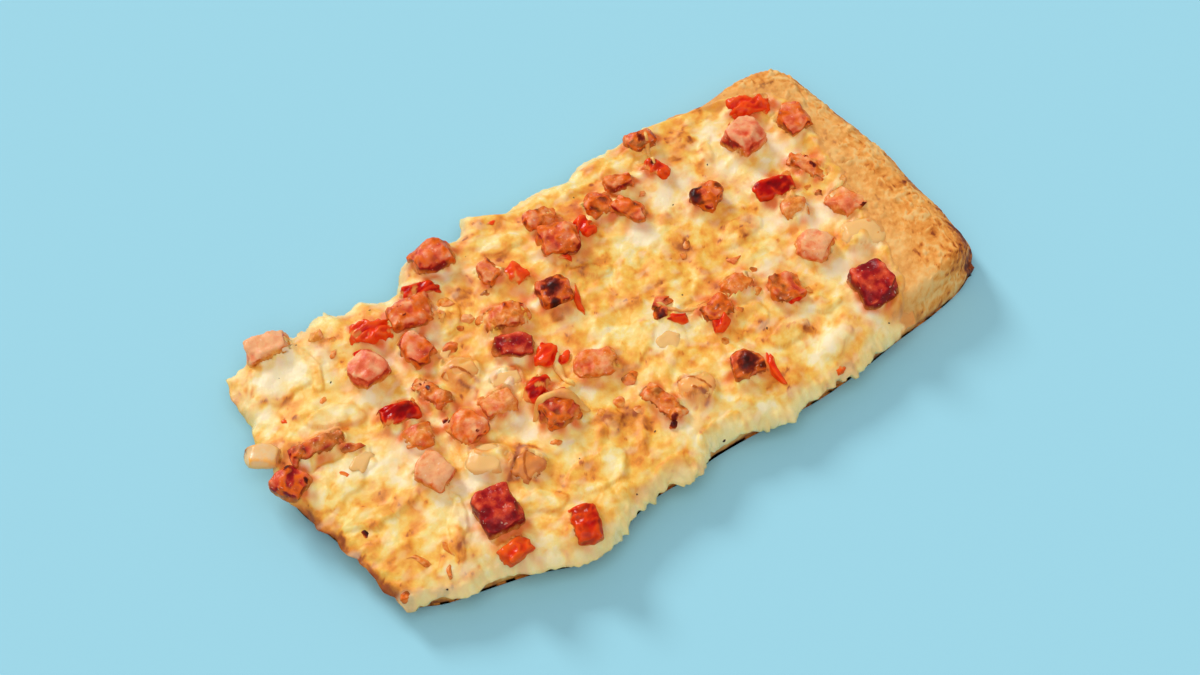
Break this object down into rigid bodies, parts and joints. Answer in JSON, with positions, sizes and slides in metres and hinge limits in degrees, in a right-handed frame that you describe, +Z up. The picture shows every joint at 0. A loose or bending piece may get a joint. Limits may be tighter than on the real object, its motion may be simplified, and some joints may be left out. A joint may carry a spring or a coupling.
{
  "type": "bacon pizza slice",
  "caption": "Rectangular slice of sheet-baked pizza: thin bread with a crust at one short end, melted cheese over its cut sides, and dice of bacon, red pepper and onion.",
  "frame": {"origin": "middle of the footprint, on the flat underside", "axes": "+X along the slice towards its crust, +Y across it, +Z up through the topping"},
  "size_m": [0.198, 0.1074, 0.0175],
  "materials": {
    "baked_bread": "matt baked crust",
    "melted_cheese": "soft satin melted cheese",
    "cured_bacon": "moist roasted meat",
    "red_pepper": "moist glossy skin",
    "soft_onion": "moist translucent flesh"
  },
  "bodies": {
    "root": {"bread": "baked_bread", "cheese": "melted_cheese", "bacon_01": "cured_bacon", "bacon_02": "cured_bacon", "bacon_03": "cured_bacon", "bacon_04": "cured_bacon", "bacon_05": "cured_bacon", "bacon_06": "cured_bacon", "bacon_07": "cured_bacon", "bacon_08": "cured_bacon", "bacon_09": "cured_bacon", "bacon_10": "cured_bacon", "bacon_11": "cured_bacon", "bacon_12": "cured_bacon", "bacon_13": "cured_bacon", "bacon_14": "cured_bacon", "bacon_15": "cured_bacon", "bacon_16": "cured_bacon", "bacon_17": "cured_bacon", "bacon_18": "cured_bacon", "bacon_19": "cured_bacon", "bacon_20": "cured_bacon", "bacon_21": "cured_bacon", "bacon_22": "cured_bacon", "bacon_23": "cured_bacon", "bacon_24": "cured_bacon", "bacon_25": "cured_bacon", "bacon_26": "cured_bacon", "bacon_27": "cured_bacon", "bacon_28": "cured_bacon", "bacon_29": "cured_bacon", "bacon_30": "cured_bacon", "bacon_31": "cured_bacon", "bacon_32": "cured_bacon", "bacon_33": "cured_bacon", "bacon_34": "cured_bacon", "bacon_35": "cured_bacon", "bacon_36": "cured_bacon", "bacon_37": "cured_bacon", "bacon_38": "cured_bacon", "pepper_01": "red_pepper", "pepper_02": "red_pepper", "pepper_03": "red_pepper", "pepper_04": "red_pepper", "pepper_05": "red_pepper", "pepper_06": "red_pepper", "pepper_07": "red_pepper", "pepper_08": "red_pepper", "pepper_09": "red_pepper", "pepper_10": "red_pepper", "pepper_11": "red_pepper", "pepper_12": "red_pepper", "onion_01": "soft_onion", "onion_02": "soft_onion", "onion_03": "soft_onion", "onion_04": "soft_onion", "onion_05": "soft_onion", "onion_06": "soft_onion", "onion_07": "soft_onion"}
  },
  "joints": []
}
